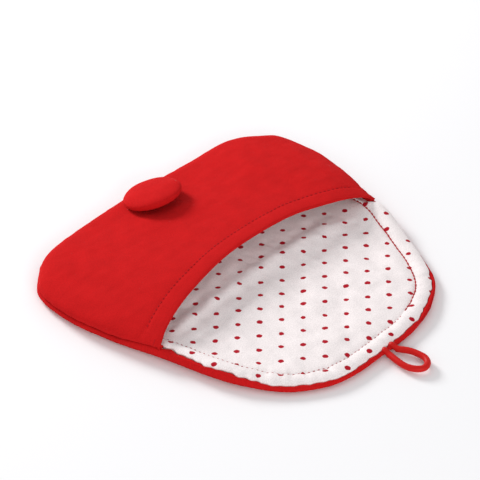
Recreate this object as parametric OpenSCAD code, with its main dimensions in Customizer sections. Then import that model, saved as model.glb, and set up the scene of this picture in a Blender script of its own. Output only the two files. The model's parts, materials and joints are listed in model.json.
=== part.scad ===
// Oven mitt: a padded pad lined with cotton, a hand pocket over its finger end, a covered button
// on the pocket and a cord to hang it by.
// +Y points to the closed finger end, +X across the hand, +Z up off the table. The origin is
// under the middle of the pad, on the face that it rests on.

/* [Pad] */
// Widest width, across the fingers
pad_w = 220; // [205:1:240]
// Length from the palm edge to the finger edge
pad_l = 214; // [200:1:230]
// Height of the lining above the table
pad_t = 6; // [5.6:0.1:7]
// Thickness of the cotton cloth
cloth_t = 0.8; // [0.6:0.1:0.9]
// Distance from the rim to the row of topstitching
rim_stitch_in = 12; // [11:0.5:14]

/* [Pocket] */
// Height of the middle of the mouth above the table
mouth_h = 26; // [22:1:32]
// Height of the corners of the mouth above the table
corner_h = 11.5; // [10:0.5:13]
// Distance from the palm edge to the corners of the mouth
mouth_in = 94; // [92:1:100]
// How far the middle of the mouth lies behind its corners
mouth_recess = 21; // [12:1:30]
// Share of the pocket's height that is left at the finger edge
finger_share = 0.6; // [0.55:0.05:0.75]
// Width of the mouth's hem
hem_w = 10; // [7:1:12]

/* [Button] */
// Diameter over the cloth
button_d = 38; // [30:1:40]
// Height of the cloth dome
button_h = 6.8; // [6:0.2:9]
// Distance from the finger edge to the middle of the button
button_in = 21.5; // [20:0.5:30]
// Distance of the button from the middle line
button_x = -1; // [-3:0.5:3]
// How much more the button leans to the finger edge than the pocket under it
rest_lean = 7.5; // [0:0.5:8]
// How much the button leans to the left
side_lean = 2.5; // [0:0.5:4]

/* [Hanging loop] */
// Diameter of the cord
cord_d = 4; // [3:0.5:4]

/* [Fold] */
// Distance from the palm edge to the line that the pad folds along
fold_in = 79; // [70:1:82]
// Slope of each side of the groove that lets the palm half fold up
fold_relief = 31; // [20:1:40]

/* [Hidden] */

red = "#c8232a";
white = "#efe9e6";
cream = "#f6f1e4";
thread_red = "#b5161d";
metal = "#c9ccd0";

layer_gap = 0.1;                  // between two layers of one body
thread_d = 0.5;
steps = 3;                        // outline points from one knot to the next
deep = 20;                        // inset where the flat middle of the pad begins
big = 2 * pad_w;
palm_y = -pad_l / 2;
finger_y = pad_l / 2;
fold_y = palm_y + fold_in;
fold_gap = 0.3;                   // from the fold line to each half

// ---- outline --------------------------------------------------------------------------------

// Right half of the outline, from the middle of the palm edge to the middle of the finger edge,
// as shares of the half width and of the length.
half_knots = [
    [0, 0], [0.24, 0.001], [0.43, 0.024], [0.62, 0.094], [0.745, 0.195], [0.81, 0.285],
    [0.873, 0.42], [0.945, 0.56], [1, 0.72], [0.985, 0.85], [0.90, 0.915], [0.72, 0.975],
    [0.4, 0.995], [0, 1]
];
last_knot = len(half_knots) - 1;

function knot(k) =
    let (n = 2 * last_knot, i = (k + n) % n, left = i > last_knot)
    let (p = half_knots[left ? n - i : i])
    [(left ? -1 : 1) * p[0] * pad_w / 2, palm_y + p[1] * pad_l];

function curve(a, b, c, d, t) =
    0.5 * (2 * b + (c - a) * t + (2 * a - 5 * b + 4 * c - d) * t * t
           + (3 * b - a - 3 * c + d) * t * t * t);

rim = [for (k = [0 : 2 * last_knot - 1], j = [0 : steps - 1])
    curve(knot(k - 1), knot(k), knot(k + 1), knot(k + 2), j / steps)];
rim_count = len(rim);

function unit(v) = v / norm(v);
outward = [for (i = [0 : rim_count - 1])
    let (d = rim[(i + 1) % rim_count] - rim[(i + rim_count - 1) % rim_count])
    unit([d[1], -d[0]])];

function flat(lists) = [for (l = lists, x = l) x];
function reverse(list) = [for (i = [len(list) - 1 : -1 : 0]) list[i]];

// A closed solid through rings that all have the same number of points, with a flat face on the
// first and on the last.
module skin_rings(rings) {
    n = len(rings[0]);
    last = len(rings) - 1;
    polyhedron(flat(rings), concat(
        [[for (i = [0 : n - 1]) i]],
        [for (r = [0 : last - 1], i = [0 : n - 1], far = [0, 1])
            let (a = r * n + i, b = r * n + (i + 1) % n)
            far == 0 ? [a, a + n, b] : [b, a + n, b + n]],
        [[for (i = [n - 1 : -1 : 0]) last * n + i]]
    ));
}

// A ring that closes on itself, through sections that all have the same number of points.
module skin_loop(sections) {
    n = len(sections[0]);
    m = len(sections);
    polyhedron(flat(sections), [for (r = [0 : m - 1], i = [0 : n - 1], far = [0, 1])
        let (a = r * n + i, b = r * n + (i + 1) % n)
        let (c = (r + 1) % m * n + i, d = (r + 1) % m * n + (i + 1) % n)
        far == 0 ? [a, b, c] : [b, d, c]]);
}

// ---- pad ------------------------------------------------------------------------------------

// Profiles of the pad's layers, as [inset from the rim, height], from the middle to the rim.
back_under = [[deep, 0], [5, 0], [2, 0.4], [0.6, 1.4], [0, 2.8], [0.3, 3.9]];
back_inner = [for (p = [[deep, 0], [5, 0], [2.3, 0.4], [1.3, 1.2], [0.85, 2.2], [1.1, 3.1]])
    p + [0, cloth_t]];
lining_top = [
    [deep, pad_t], [14, pad_t - 0.2], [rim_stitch_in + 0.7, pad_t - 0.4],
    [rim_stitch_in, pad_t - 0.9], [rim_stitch_in - 0.7, pad_t - 0.4],
    [9, pad_t - 0.2], [7, pad_t - 0.4], [5, pad_t - 0.9], [3, pad_t - 1.1], [1.3, pad_t - 1.4]
];
lining_under = [
    [deep, pad_t], [14, pad_t - 0.2], [rim_stitch_in, pad_t - 1], [9, pad_t - 0.2],
    [7, pad_t - 0.4], [5, pad_t - 0.9], [2.2, pad_t - 1.1]
];
wadding_edge = [[2.9, 1.9], [2.9, 3.4]];

function moved(profile, dz) = [for (p = profile) p + [0, dz]];
function pad_ring(p) = [for (i = [0 : rim_count - 1])
    let (q = rim[i] - outward[i] * p[0]) [q[0], q[1], p[1]]];
module pad_solid(profile) {
    skin_rings([for (p = profile) pad_ring(p)]);
}

// The part of a solid on the finger side (1) or the palm side (-1) of the fold.
module half_of(side) {
    intersection() {
        children();
        translate([0, fold_y + side * fold_gap, 0])
            rotate([-side * fold_relief, 0, 0])
                translate([-big / 2, side > 0 ? 0 : -big, -big / 2])
                    cube(big);
    }
}

module back_cover() {
    pad_solid(concat(back_under, reverse(back_inner)));
}

module wadding() {
    under = [for (p = back_inner) if (p[0] >= 2.3) p + [0.6, layer_gap]];
    top = moved([for (p = lining_under) if (p[0] >= 3) p], -cloth_t - layer_gap);
    pad_solid(concat(under, wadding_edge, reverse(top)));
}

module lining() {
    pad_solid(concat(moved(lining_under, -cloth_t), reverse(lining_top)));
}

// A thread that runs round the pad at an inset and a height, on a square section.
module rim_thread(inset, z) {
    r = thread_d / 2;
    skin_loop([for (i = [0 : rim_count - 1])
        let (q = rim[i] - outward[i] * inset)
        [for (a = [45 : 90 : 315])
            [q[0] + r * cos(a) * outward[i][0], q[1] + r * cos(a) * outward[i][1],
             z + r * sin(a)]]]);
}

module seam_thread() {
    rim_thread(1.5, pad_t - 2);
}

module rim_stitching() {
    rim_thread(rim_stitch_in, pad_t - 0.5);
}

module back_cover_finger() { color(red) half_of(1) back_cover(); }
module back_cover_palm() {
    color(red) difference() {
        half_of(-1) back_cover();
        leg_holes(layer_gap);
    }
}
module wadding_finger() { color(cream) half_of(1) wadding(); }
module wadding_palm() {
    color(cream) difference() {
        half_of(-1) wadding();
        leg_holes(layer_gap);
    }
}
module lining_finger() { color(white) half_of(1) lining(); }
module lining_palm() {
    color(white) difference() {
        half_of(-1) lining();
        leg_holes(layer_gap);
    }
}
module seam_thread_finger() { color(thread_red) half_of(1) seam_thread(); }
module seam_thread_palm() {
    color(thread_red) difference() {
        half_of(-1) seam_thread();
        leg_holes(layer_gap);
    }
}
module rim_stitching_finger() { color(thread_red) half_of(1) rim_stitching(); }
module rim_stitching_palm() { color(thread_red) half_of(-1) rim_stitching(); }

// ---- pocket ---------------------------------------------------------------------------------

pocket_seam_z = pad_t - 0.7;      // where the pocket's side seam stands on the lining
pocket_layers = [cloth_t, 1.6, 0.6];
fan_y = palm_y + 78;              // the rings close in on this point, palmwards of the mouth
mouth_y = palm_y + mouth_in;
corner_x = 98;

// How much of its height the pocket keeps at a distance along the pad.
function share(y) =
    1 - (1 - finger_share) * pow(max(0, (y - mouth_y - mouth_recess) / (finger_y - mouth_y
        - mouth_recess)), 1.2);

function crown(d) =
    corner_h + (mouth_h - corner_h) * pow(1 - pow(1 - d / 100, 2), 0.7);

// Outside of the pocket as [percent of the way in from the rim, height, slope of its normal].
side_wall = [
    [1.3, pocket_seam_z, 0], [0.3, pocket_seam_z + 1.3, 0], [0, pocket_seam_z + 2.9, 4],
    [0.5, corner_h - 0.2, 14], [2, corner_h + 1.2, 42]
];
roof = [for (d = [5, 10, 20, 34, 52, 74, 92]) [d, crown(d), 74 + d / 10]];

// The surface that lies t inside the pocket's outside.
function pocket_rings(t) = [for (p = concat(side_wall, roof))
    let (way_in = (p[0] + t * cos(p[2])) / 100)
    [for (q = rim)
        [q[0] * (1 - way_in), q[1] + (fan_y - q[1]) * way_in,
         pocket_seam_z + (p[1] - pocket_seam_z) * share(q[1] + (fan_y - q[1]) * way_in)
            - t * sin(p[2])]]];

// Everything fingerwards of a line that follows the mouth at a distance behind it.
module behind_mouth(behind) {
    edge = [for (x = [-corner_x : 7 : corner_x])
        [x, mouth_y + behind + mouth_recess * pow(1 - pow(x / corner_x, 2), 0.75)]];
    linear_extrude(60)
        polygon(concat([[-big, mouth_y + behind]], edge,
                       [[big, mouth_y + behind], [big, big], [-big, big]]));
}

// A layer of the pocket between two depths below its outside.
module pocket_layer(from, to) {
    skin_rings(concat(reverse(pocket_rings(to)), pocket_rings(from)));
}

wadding_from = pocket_layers[0] + layer_gap;
lining_from = wadding_from + pocket_layers[1] + layer_gap;
facing_from = lining_from + pocket_layers[2] + layer_gap;

module pocket_cover() {
    color(red) intersection() {
        pocket_layer(0, pocket_layers[0]);
        behind_mouth(0);
    }
}

module pocket_wadding() {
    color(cream) intersection() {
        pocket_layer(wadding_from, wadding_from + pocket_layers[1]);
        behind_mouth(1);
    }
}

module pocket_lining() {
    color(white) intersection() {
        pocket_layer(lining_from, lining_from + pocket_layers[2]);
        behind_mouth(0.5);
    }
}

// The hem of the cover, turned in under the lining.
module mouth_facing() {
    color(red) difference() {
        intersection() {
            pocket_layer(facing_from, facing_from + 0.5);
            behind_mouth(0.3);
        }
        behind_mouth(hem_w + 1);
    }
}

module mouth_stitching() {
    color(thread_red) difference() {
        intersection() {
            pocket_layer(-0.55, -0.15);
            behind_mouth(hem_w);
        }
        behind_mouth(hem_w + thread_d);
    }
}

// A bar of thread that holds a corner of the mouth to the side seam.
module corner_tack(side) {
    color(thread_red) intersection() {
        pocket_layer(-0.65, -0.05);
        translate([side * 95, mouth_y + 3, 12]) cube([14, 2.4, 20], center = true);
    }
}

module corner_tack_left() { corner_tack(-1); }
module corner_tack_right() { corner_tack(1); }

// ---- hanging loop ---------------------------------------------------------------------------

leg_x = 2.15;                     // from the middle line to each leg of the cord
leg_z = 3;
swing_y = palm_y - cord_d / 2 - 0.6;
leg_in = 8;                       // length of each leg inside the seam

// Route of the loop from its left leg round to its right leg, from the swing axis outwards.
loop_route = [
    [-2.3, 0], [-2.5, 2], [-2.9, 4.4], [-3.3, 7], [-3.6, 9.6], [-3.7, 12.2], [-3.4, 14.8],
    [-2.6, 17.4], [-1.2, 19.8], [0.7, 21.7], [3, 22.7], [5.6, 22.4], [7.9, 21],
    [9.6, 18.8], [10.5, 16.2], [10.6, 13.4], [10, 10.8], [8.8, 8.3], [7.2, 6],
    [5.5, 3.9], [3.7, 1.9], [2.4, 0]
];

// A tube with round sections along a flat route, domed at both ends.
module cord(route, z) {
    r = cord_d / 2;
    n = len(route);
    function heading(i) = unit(route[min(i + 1, n - 1)] - route[max(i - 1, 0)]);
    function section(at, way, radius) = [for (a = [0 : 45 : 315])
        [at[0] + radius * cos(a) * way[1], at[1] - radius * cos(a) * way[0],
         z + radius * sin(a)]];
    skin_rings(concat(
        [for (a = [25, 60]) section(route[0] - heading(0) * r * cos(a), heading(0), r * sin(a))],
        [for (i = [0 : n - 1]) section(route[i], heading(i), r)],
        [for (a = [60, 25])
            section(route[n - 1] + heading(n - 1) * r * cos(a), heading(n - 1), r * sin(a))]
    ));
}

module hanging_loop() {
    color(red) cord([for (p = loop_route) [p[0], swing_y - p[1]]], leg_z);
}

// The cord's two ends where they lie between the covers, grown by a clearance.
module leg_holes(clear) {
    for (side = [-1, 1])
        translate([side * leg_x, palm_y + leg_in, leg_z])
            rotate([90, 0, 0]) cylinder(d = cord_d + 2 * clear, h = leg_in + 20, $fn = 32);
}

module loop_ends() {
    color(red) for (side = [-1, 1])
        translate([side * (leg_x + 0.02), palm_y + leg_in, leg_z])
            rotate([90, 0, 0]) cylinder(d = cord_d * 0.9, h = leg_in + 0.3, $fn = 32);
}

module loop_tack() {
    color(thread_red) translate([0, palm_y + 6, pad_t - 0.15])
        cube([9, 1.6, 0.5], center = true);
}

// ---- button ---------------------------------------------------------------------------------

button_y = finger_y - button_in;
function pocket_z(y) = pocket_seam_z
    + (crown(100 * (finger_y - y) / (finger_y - fan_y)) - pocket_seam_z) * share(y);
button_z = pocket_z(button_y);
button_slope = atan2(pocket_z(button_y - 10) - pocket_z(button_y + 10), 20);
button_lean = button_slope + rest_lean;
shank_h = 3.3;                    // from the pocket to the underside of the cloth
plate_z = 4.9;                    // underside of the back plate, sunk into the button
eye_r = 1.6;
wire_d = 0.8;
shank_r = 1.85;                   // of the ring of thread through the eye
shank_d = 0.6;                    // of the bundle of thread
slack = 0.3;                      // between the thread and what it passes

module on_pocket(lean = button_lean, side = side_lean) {
    translate([button_x, button_y, button_z]) rotate([-lean, -side, 0]) children();
}

button_side = 2.2;                // height of the button's rounded edge
turned_r = 13.5;                  // where the cloth that is turned under the button ends

// Section of the button's dome at a depth t below the cloth, from its top to its widest edge.
function dome(t) = [for (a = [0 : 10 : 90])
    [(button_d / 2 - t) * pow(sin(a), 0.86),
     shank_h + button_side + (button_h - button_side - t) * pow(max(0, cos(a)), 0.86)]];

// The cloth from the widest edge to where it ends under the button.
function turned(t) = concat(
    [for (a = [105 : 15 : 135])
        [button_d / 2 - t - 3 * (1 - sin(a)),
         shank_h + button_side + (button_side - t) * cos(a) / cos(45)]],
    [[turned_r, shank_h + t]]);

module dome_shell(outer, inner) {
    rotate_extrude($fn = 64) polygon(concat(outer, reverse(inner)));
}

module button_anchor() {
    color(thread_red) on_pocket(button_slope, 0)
        translate([0, 0, 0.05]) cylinder(d = 4, h = 0.15, $fn = 32);
}

module thread_shank() {
    color(thread_red) on_pocket()
        translate([0, 0, plate_z - slack - shank_d / 2 - shank_r]) rotate([90, 0, 0])
            rotate_extrude($fn = 32) translate([shank_r, 0]) circle(d = shank_d, $fn = 16);
}

module button_eye() {
    color(metal) on_pocket()
        intersection() {
            translate([0, 0, plate_z]) rotate([0, 90, 0])
                rotate_extrude($fn = 32) translate([eye_r, 0]) circle(d = wire_d, $fn = 16);
            translate([-5, -5, plate_z - 5]) cube([10, 10, 5]);
        }
}

module button_back() {
    color(metal) on_pocket() translate([0, 0, plate_z])
        cylinder(r = button_d / 2 - 4, h = 0.6, $fn = 64);
}

module button_shell() { color(metal) on_pocket() dome_shell(dome(1.8), dome(2.3)); }
module button_padding() { color(cream) on_pocket() dome_shell(dome(0.7), dome(1.7)); }
module button_cover() {
    color(red) on_pocket()
        dome_shell(concat(dome(0), turned(0)), concat(dome(0.6), turned(0.6)));
}

// ---- nodes ----------------------------------------------------------------------------------

back_cover_finger();
back_cover_palm();
wadding_finger();
wadding_palm();
lining_finger();
lining_palm();
seam_thread_finger();
seam_thread_palm();
rim_stitching_finger();
rim_stitching_palm();
pocket_cover();
pocket_wadding();
pocket_lining();
mouth_facing();
mouth_stitching();
corner_tack_left();
corner_tack_right();
hanging_loop();
loop_ends();
loop_tack();
button_anchor();
thread_shank();
button_eye();
button_back();
button_shell();
button_padding();
button_cover();
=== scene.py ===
import json
import math

import bpy
import numpy as np
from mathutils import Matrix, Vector


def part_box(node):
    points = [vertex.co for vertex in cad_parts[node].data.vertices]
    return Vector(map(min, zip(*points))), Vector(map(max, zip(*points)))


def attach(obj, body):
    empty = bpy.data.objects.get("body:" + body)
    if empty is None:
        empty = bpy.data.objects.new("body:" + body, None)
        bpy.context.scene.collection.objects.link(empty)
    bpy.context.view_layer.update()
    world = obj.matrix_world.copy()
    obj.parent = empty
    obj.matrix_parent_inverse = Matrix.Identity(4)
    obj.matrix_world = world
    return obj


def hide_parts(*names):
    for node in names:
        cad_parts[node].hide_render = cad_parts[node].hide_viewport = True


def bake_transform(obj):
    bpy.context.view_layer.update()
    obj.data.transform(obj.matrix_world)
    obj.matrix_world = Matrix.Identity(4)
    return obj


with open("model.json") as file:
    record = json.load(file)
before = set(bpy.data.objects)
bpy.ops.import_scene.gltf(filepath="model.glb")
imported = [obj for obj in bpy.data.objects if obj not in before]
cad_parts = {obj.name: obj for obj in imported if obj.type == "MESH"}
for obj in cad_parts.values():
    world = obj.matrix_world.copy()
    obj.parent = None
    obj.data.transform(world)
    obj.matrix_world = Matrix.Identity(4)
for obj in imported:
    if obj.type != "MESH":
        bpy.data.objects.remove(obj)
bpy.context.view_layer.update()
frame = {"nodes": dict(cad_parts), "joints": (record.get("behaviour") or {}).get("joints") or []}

# The looks of a padded oven mitt. +Y points to the closed finger edge, +X across the hand, +Z up.
# Lengths are in millimetres in the frame's own axes until mesh_piece() makes them metres.

MM = 0.001
CM = 0.1  # centimetres in a millimetre, for places on the flat cloth


def node_box(*nodes):
    """The lowest and highest corner of some CAD nodes, in millimetres."""
    boxes = [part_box(n) for n in nodes]
    low = np.min([np.array(b[0]) for b in boxes], axis=0)
    high = np.max([np.array(b[1]) for b in boxes], axis=0)
    return low / MM, high / MM


PAD_LOW, PAD_HIGH = node_box("back_cover_finger", "back_cover_palm")
POCKET_LOW, POCKET_HIGH = node_box("pocket_cover")
JOINTS = {j["name"]: j for j in frame["joints"]}
PALM_Y, FINGER_Y = PAD_LOW[1], PAD_HIGH[1]
PAD_L = FINGER_Y - PALM_Y
HALF_W = 110.0
LINING_Z = node_box("lining_finger", "lining_palm")[1][2]
MOUTH_Z = POCKET_HIGH[2]
MOUTH_Y = POCKET_LOW[1]

MOUTH_RECESS = 21.0
CORNER_X = 98.0
CORNER_Z = 11.5
FINGER_SHARE = 0.6
HEM = 10.0
RIM_STITCH_IN = 12.3
SEAM_Z = 4.95

# ---- noise and curves ------------------------------------------------------------------------


def ripple(x, y, wavelength, seed, waves=9):
    """Smooth noise of about -1 to 1 in the plane, from waves in all directions."""
    rng = np.random.RandomState(seed)
    total = 0.0
    for _ in range(waves):
        turn, phase = rng.uniform(0, 2 * math.pi, 2)
        k = 2 * math.pi / (wavelength * rng.uniform(0.75, 1.4))
        total = total + np.sin(k * (x * math.cos(turn) + y * math.sin(turn)) + phase)
    return total / math.sqrt(waves)


def ramp(x, low, high):
    t = np.clip((x - low) / (high - low), 0, 1)
    return t * t * (3 - 2 * t)


def bump(x, centre, width):
    return np.exp(-(((x - centre) / width) ** 2))


def catmull(points, per_span, closed):
    p = np.array(points, float)
    if closed:
        p = np.concatenate([p[-1:], p, p[:2]])
    else:
        p = np.concatenate([2 * p[:1] - p[1:2], p, 2 * p[-1:] - p[-2:-1]])
    out = []
    t = np.arange(per_span)[:, None] / per_span
    for a, b, c, d in zip(p[:-3], p[1:-2], p[2:-1], p[3:]):
        out.append(0.5 * (2 * b + (c - a) * t + (2 * a - 5 * b + 4 * c - d) * t ** 2
                          + (3 * b - a - 3 * c + d) * t ** 3))
    out = np.concatenate(out)
    return out if closed else np.concatenate([out, p[-2:-1]])


def along(points):
    steps = np.linalg.norm(np.diff(points, axis=0), axis=1)
    return np.concatenate([[0], np.cumsum(steps)])


def resample(points, count, closed=False):
    """The same curve through evenly spaced points."""
    if closed:
        points = np.concatenate([points, points[:1]])
    s = along(points)
    at = np.linspace(0, s[-1], count + 1 if closed else count)
    out = np.stack([np.interp(at, s, points[:, i]) for i in range(points.shape[1])], axis=1)
    return out[:-1] if closed else out


# ---- outline of the pad ------------------------------------------------------------------------

# Right half of the outline from the palm edge to the finger edge, in shares of the half width
# and of the length.
HALF_KNOTS = [
    (0, 0), (0.24, 0.001), (0.43, 0.024), (0.62, 0.094), (0.745, 0.195), (0.81, 0.285),
    (0.873, 0.42), (0.945, 0.56), (1, 0.72), (0.985, 0.85), (0.90, 0.915), (0.72, 0.975),
    (0.4, 0.995), (0, 1),
]
RIM_POINTS = 480


def outline():
    right = [(x * HALF_W, PALM_Y + y * PAD_L) for x, y in HALF_KNOTS]
    left = [(-x, y) for x, y in reversed(right[1:-1])]
    return resample(catmull(right + left, 24, True), RIM_POINTS, closed=True)


def outward_of(rim):
    tangent = np.roll(rim, -1, 0) - np.roll(rim, 1, 0)
    tangent /= np.linalg.norm(tangent, axis=1)[:, None]
    return np.stack([tangent[:, 1], -tangent[:, 0]], axis=1)


RIM = outline()
# The palm end is pulled a little flat on its right by the stitches, and the side bulges there.
RIM = RIM - outward_of(RIM) * (2.0 * bump(RIM[:, 0], 43, 22) * ramp(-RIM[:, 1], 40, 60)
                               - 2.7 * bump(RIM[:, 1], -22, 16) * ramp(RIM[:, 0], 30, 60)
                               + 0.9 * bump(RIM[:, 1], -62, 14) * ramp(RIM[:, 0], 30, 60))[:, None]
OUTWARD = outward_of(RIM)
RIM_S = np.arange(RIM_POINTS) * np.linalg.norm(RIM[1] - RIM[0])


def rim_noise(wavelength, seed):
    """Smooth noise round the rim that closes on itself."""
    a = 2 * math.pi * np.arange(RIM_POINTS) / RIM_POINTS
    r = RIM_S[-1] / (2 * math.pi)
    return ripple(r * np.cos(a), r * np.sin(a), wavelength, seed)


def inward(rim, outward, inset, centre, straight):
    """Points at an inset from the rim: square to it at first, and then towards a centre."""
    inset = np.broadcast_to(inset, len(rim))[:, None]
    near = rim - outward * np.minimum(inset, straight)
    t = np.clip((inset - straight) / (100 - straight), 0, 1)
    return near + (np.array(centre) - near) * t


PAD_CENTRE = (0.0, 45.0)
PAD_STRAIGHT = 16.0


def pad_ring(inset):
    return inward(RIM, OUTWARD, inset, PAD_CENTRE, PAD_STRAIGHT)


# How much nearer the palm the mouth's left end lies than its middle does on the frame.
MOUTH_LEFT = 2.2


def mouth_line(x):
    """The mouth's edge in plan: Y for each X."""
    share = np.clip(1 - (x / CORNER_X) ** 2, 0, 1)
    pulled = 4.5 * bump(x, 74, 22) - 1.9 * bump(x, 68, 24) + MOUTH_LEFT * ramp(-x, 5, 50)
    return MOUTH_Y + 0.4 - pulled + MOUTH_RECESS * share ** 0.75


ON_POCKET = ramp(RIM[:, 1] + MOUTH_LEFT * (RIM[:, 0] < 0), MOUTH_Y - 3, MOUTH_Y + 3)
# Width of the red rim that shows outside the lining: it thins out up the right side.
RIGHT_SIDE = ramp(RIM[:, 0], 30, 60) * ramp(RIM[:, 1], -95, -64) * (1 - ON_POCKET)
LEFT_CORNER = ramp(-RIM[:, 0], 20, 60) * bump(RIM[:, 1], MOUTH_Y - 4, 10)
RED_EDGE = 2.5 + 0.4 * rim_noise(26, 3) + 0.6 * rim_noise(9, 4) + 0.35 * rim_noise(5.5, 6)
RED_EDGE = RED_EDGE + 2.4 * LEFT_CORNER
RED_EDGE = np.maximum(RED_EDGE, 1.2) * (1 - 0.93 * ramp(RIM[:, 0], 30, 60)
                                        * ramp(RIM[:, 1], -100, -55) * (1 - ON_POCKET))
RED_EDGE = RED_EDGE - 0.7 * bump(RIM[:, 0], 0, 5) * ramp(-RIM[:, 1], 60, 80)
RED_EDGE = RED_EDGE + (3.0 - RED_EDGE) * ON_POCKET
# How much higher the rolled rim stands beside the mouth and under the pocket.
LEFT_LIFT = 4.0 * ramp(-RIM[:, 0], 30, 60) * ramp(RIM[:, 1], -94, -50) * ramp(26 - RIM[:, 1], 0, 36)
RIGHT_LIFT = 6.0 * ramp(RIM[:, 0], 40, 80) * bump(RIM[:, 1], MOUTH_Y - 2, 27)
RIM_LIFT = np.maximum(0.8 * ON_POCKET * ramp(-RIM[:, 0], 0, 60), LEFT_LIFT + RIGHT_LIFT)
PUCKER = rim_noise(7.5, 5)
# Inset of the topstitching: it runs out nearer to the edge at the right end of the mouth.
TO_THE_RIGHT = ramp(RIM[:, 0], 30, 60)
STITCH_IN = RIM_STITCH_IN - TO_THE_RIGHT * (3.2 * bump(RIM[:, 1], -6, 20)
                                            + 1.2 * bump(RIM[:, 1], -56, 22))

# ---- meshes ------------------------------------------------------------------------------------

MATERIALS = {}


def mesh_piece(name, points, faces, uv, material):
    """A mesh object from points in millimetres. uv is each point's place on the flat cloth."""
    mesh = bpy.data.meshes.new(name)
    mesh.from_pydata((np.asarray(points) * MM).tolist(), [], [list(map(int, f)) for f in faces])
    layer = mesh.uv_layers.new(name="cloth")
    index = np.zeros(len(mesh.loops), int)
    mesh.loops.foreach_get("vertex_index", index)
    layer.data.foreach_set("uv", (np.asarray(uv)[index] * CM).ravel())
    mesh.materials.append(MATERIALS[material])
    mesh.polygons.foreach_set("use_smooth", [True] * len(mesh.polygons))
    mesh.update()
    piece = bpy.data.objects.new(name, mesh)
    bpy.context.collection.objects.link(piece)
    return piece


def apply_modifiers(piece):
    graph = bpy.context.evaluated_depsgraph_get()
    mesh = bpy.data.meshes.new_from_object(piece.evaluated_get(graph))
    piece.modifiers.clear()
    piece.data = mesh


def face_outwards(piece):
    """Turns a closed mesh the right way out."""
    mesh = piece.data
    mesh.calc_loop_triangles()
    p = np.array([v.co[:] for v in mesh.vertices])
    t = np.array([t.vertices[:] for t in mesh.loop_triangles])
    a, b, c = p[t[:, 0]], p[t[:, 1]], p[t[:, 2]]
    if (a * np.cross(b, c)).sum() < 0:
        mesh.flip_normals()
    return piece


def rings_piece(name, rings, uv, material):
    """A solid of rings of equal length, with a fan over the first and the last."""
    rings = [np.asarray(r) for r in rings]
    n, m = len(rings[0]), len(rings)
    points = np.concatenate(rings)
    flat = np.concatenate(uv)
    i = np.arange(n)
    j = (i + 1) % n
    faces = []
    for r in range(m - 1):
        a, b = r * n, (r + 1) * n
        faces.append(np.stack([a + i, b + i, b + j, a + j], axis=1))
    faces = [tuple(f) for f in np.concatenate(faces)]
    for ring, flip in ((0, False), (m - 1, True)):
        middle = len(points)
        points = np.concatenate([points, rings[ring].mean(axis=0)[None]])
        flat = np.concatenate([flat, uv[ring].mean(axis=0)[None]])
        for a, b in zip(ring * n + i, ring * n + j):
            faces.append((middle, b, a) if flip else (middle, a, b))
    return face_outwards(mesh_piece(name, points, faces, flat, material))


def grid_piece(name, grid, uv, material):
    """An open sheet through a grid of points, (columns, rows, 3)."""
    n, m = grid.shape[:2]
    i, j = np.meshgrid(np.arange(n - 1), np.arange(m - 1), indexing="ij")
    a = (i * m + j).ravel()
    faces = np.stack([a, a + m, a + m + 1, a + 1], axis=1)
    return mesh_piece(name, grid.reshape(-1, 3), faces, uv.reshape(-1, 2), material)


def thicken(piece, thickness):
    """Gives a sheet its thickness, on the inside."""
    solid = piece.modifiers.new("thickness", "SOLIDIFY")
    solid.thickness = thickness * MM
    solid.offset = -1.0
    solid.use_even_offset = False
    apply_modifiers(piece)
    face_outwards(piece)


def grid_normals(grid):
    across = np.gradient(grid, axis=0)
    up = np.gradient(grid, axis=1)
    n = np.cross(across, up)
    n /= np.maximum(np.linalg.norm(n, axis=2), 1e-9)[:, :, None]
    return n


def stitch_row(path, normals, length, space, width, sink):
    """Single stitches along a path: short threads whose ends dive into the cloth. Returns their
    points, faces and places on a flat cloth."""
    s = along(path)
    rounds, sides = 7, 6
    turn = np.arange(sides) * 2 * math.pi / sides
    arch = np.sin(np.linspace(0, math.pi, rounds))
    points, faces, flat = [], [], []
    for k in range(int(s[-1] / (length + space))):
        at = k * (length + space) + np.linspace(0, length, rounds)
        p = np.stack([np.interp(at, s, path[:, i]) for i in range(3)], axis=1)
        up = np.stack([np.interp(at, s, normals[:, i]) for i in range(3)], axis=1)
        up /= np.linalg.norm(up, axis=1)[:, None]
        side = np.cross(p[-1] - p[0], up)
        side /= np.linalg.norm(side, axis=1)[:, None]
        base = k * rounds * sides
        for r in range(rounds):
            centre = p[r] + up[r] * sink * (1.5 * arch[r] - 1)
            radius = width / 2 * (0.55 + 0.45 * arch[r] ** 0.5)
            points.append(centre + radius * (np.cos(turn)[:, None] * side[r]
                                             + np.sin(turn)[:, None] * up[r]))
            flat.append(np.stack([np.full(sides, at[r]), np.arange(sides) * 1.0], axis=1))
        for r in range(rounds - 1):
            low = base + r * sides
            for a in range(sides):
                b = (a + 1) % sides
                faces.append((low + a, low + b, low + sides + b, low + sides + a))
        faces.append(tuple(base + a for a in reversed(range(sides))))
        faces.append(tuple(base + (rounds - 1) * sides + a for a in range(sides)))
    return np.concatenate(points), faces, np.concatenate(flat)


def stitch_piece(name, rows, material):
    points, faces, flat = [], [], []
    for p, f, u in rows:
        start = sum(len(q) for q in points)
        points.append(p)
        faces += [tuple(v + start for v in face) for face in f]
        flat.append(u)
    return mesh_piece(name, np.concatenate(points), faces, np.concatenate(flat), material)


# ---- materials ---------------------------------------------------------------------------------


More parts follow.
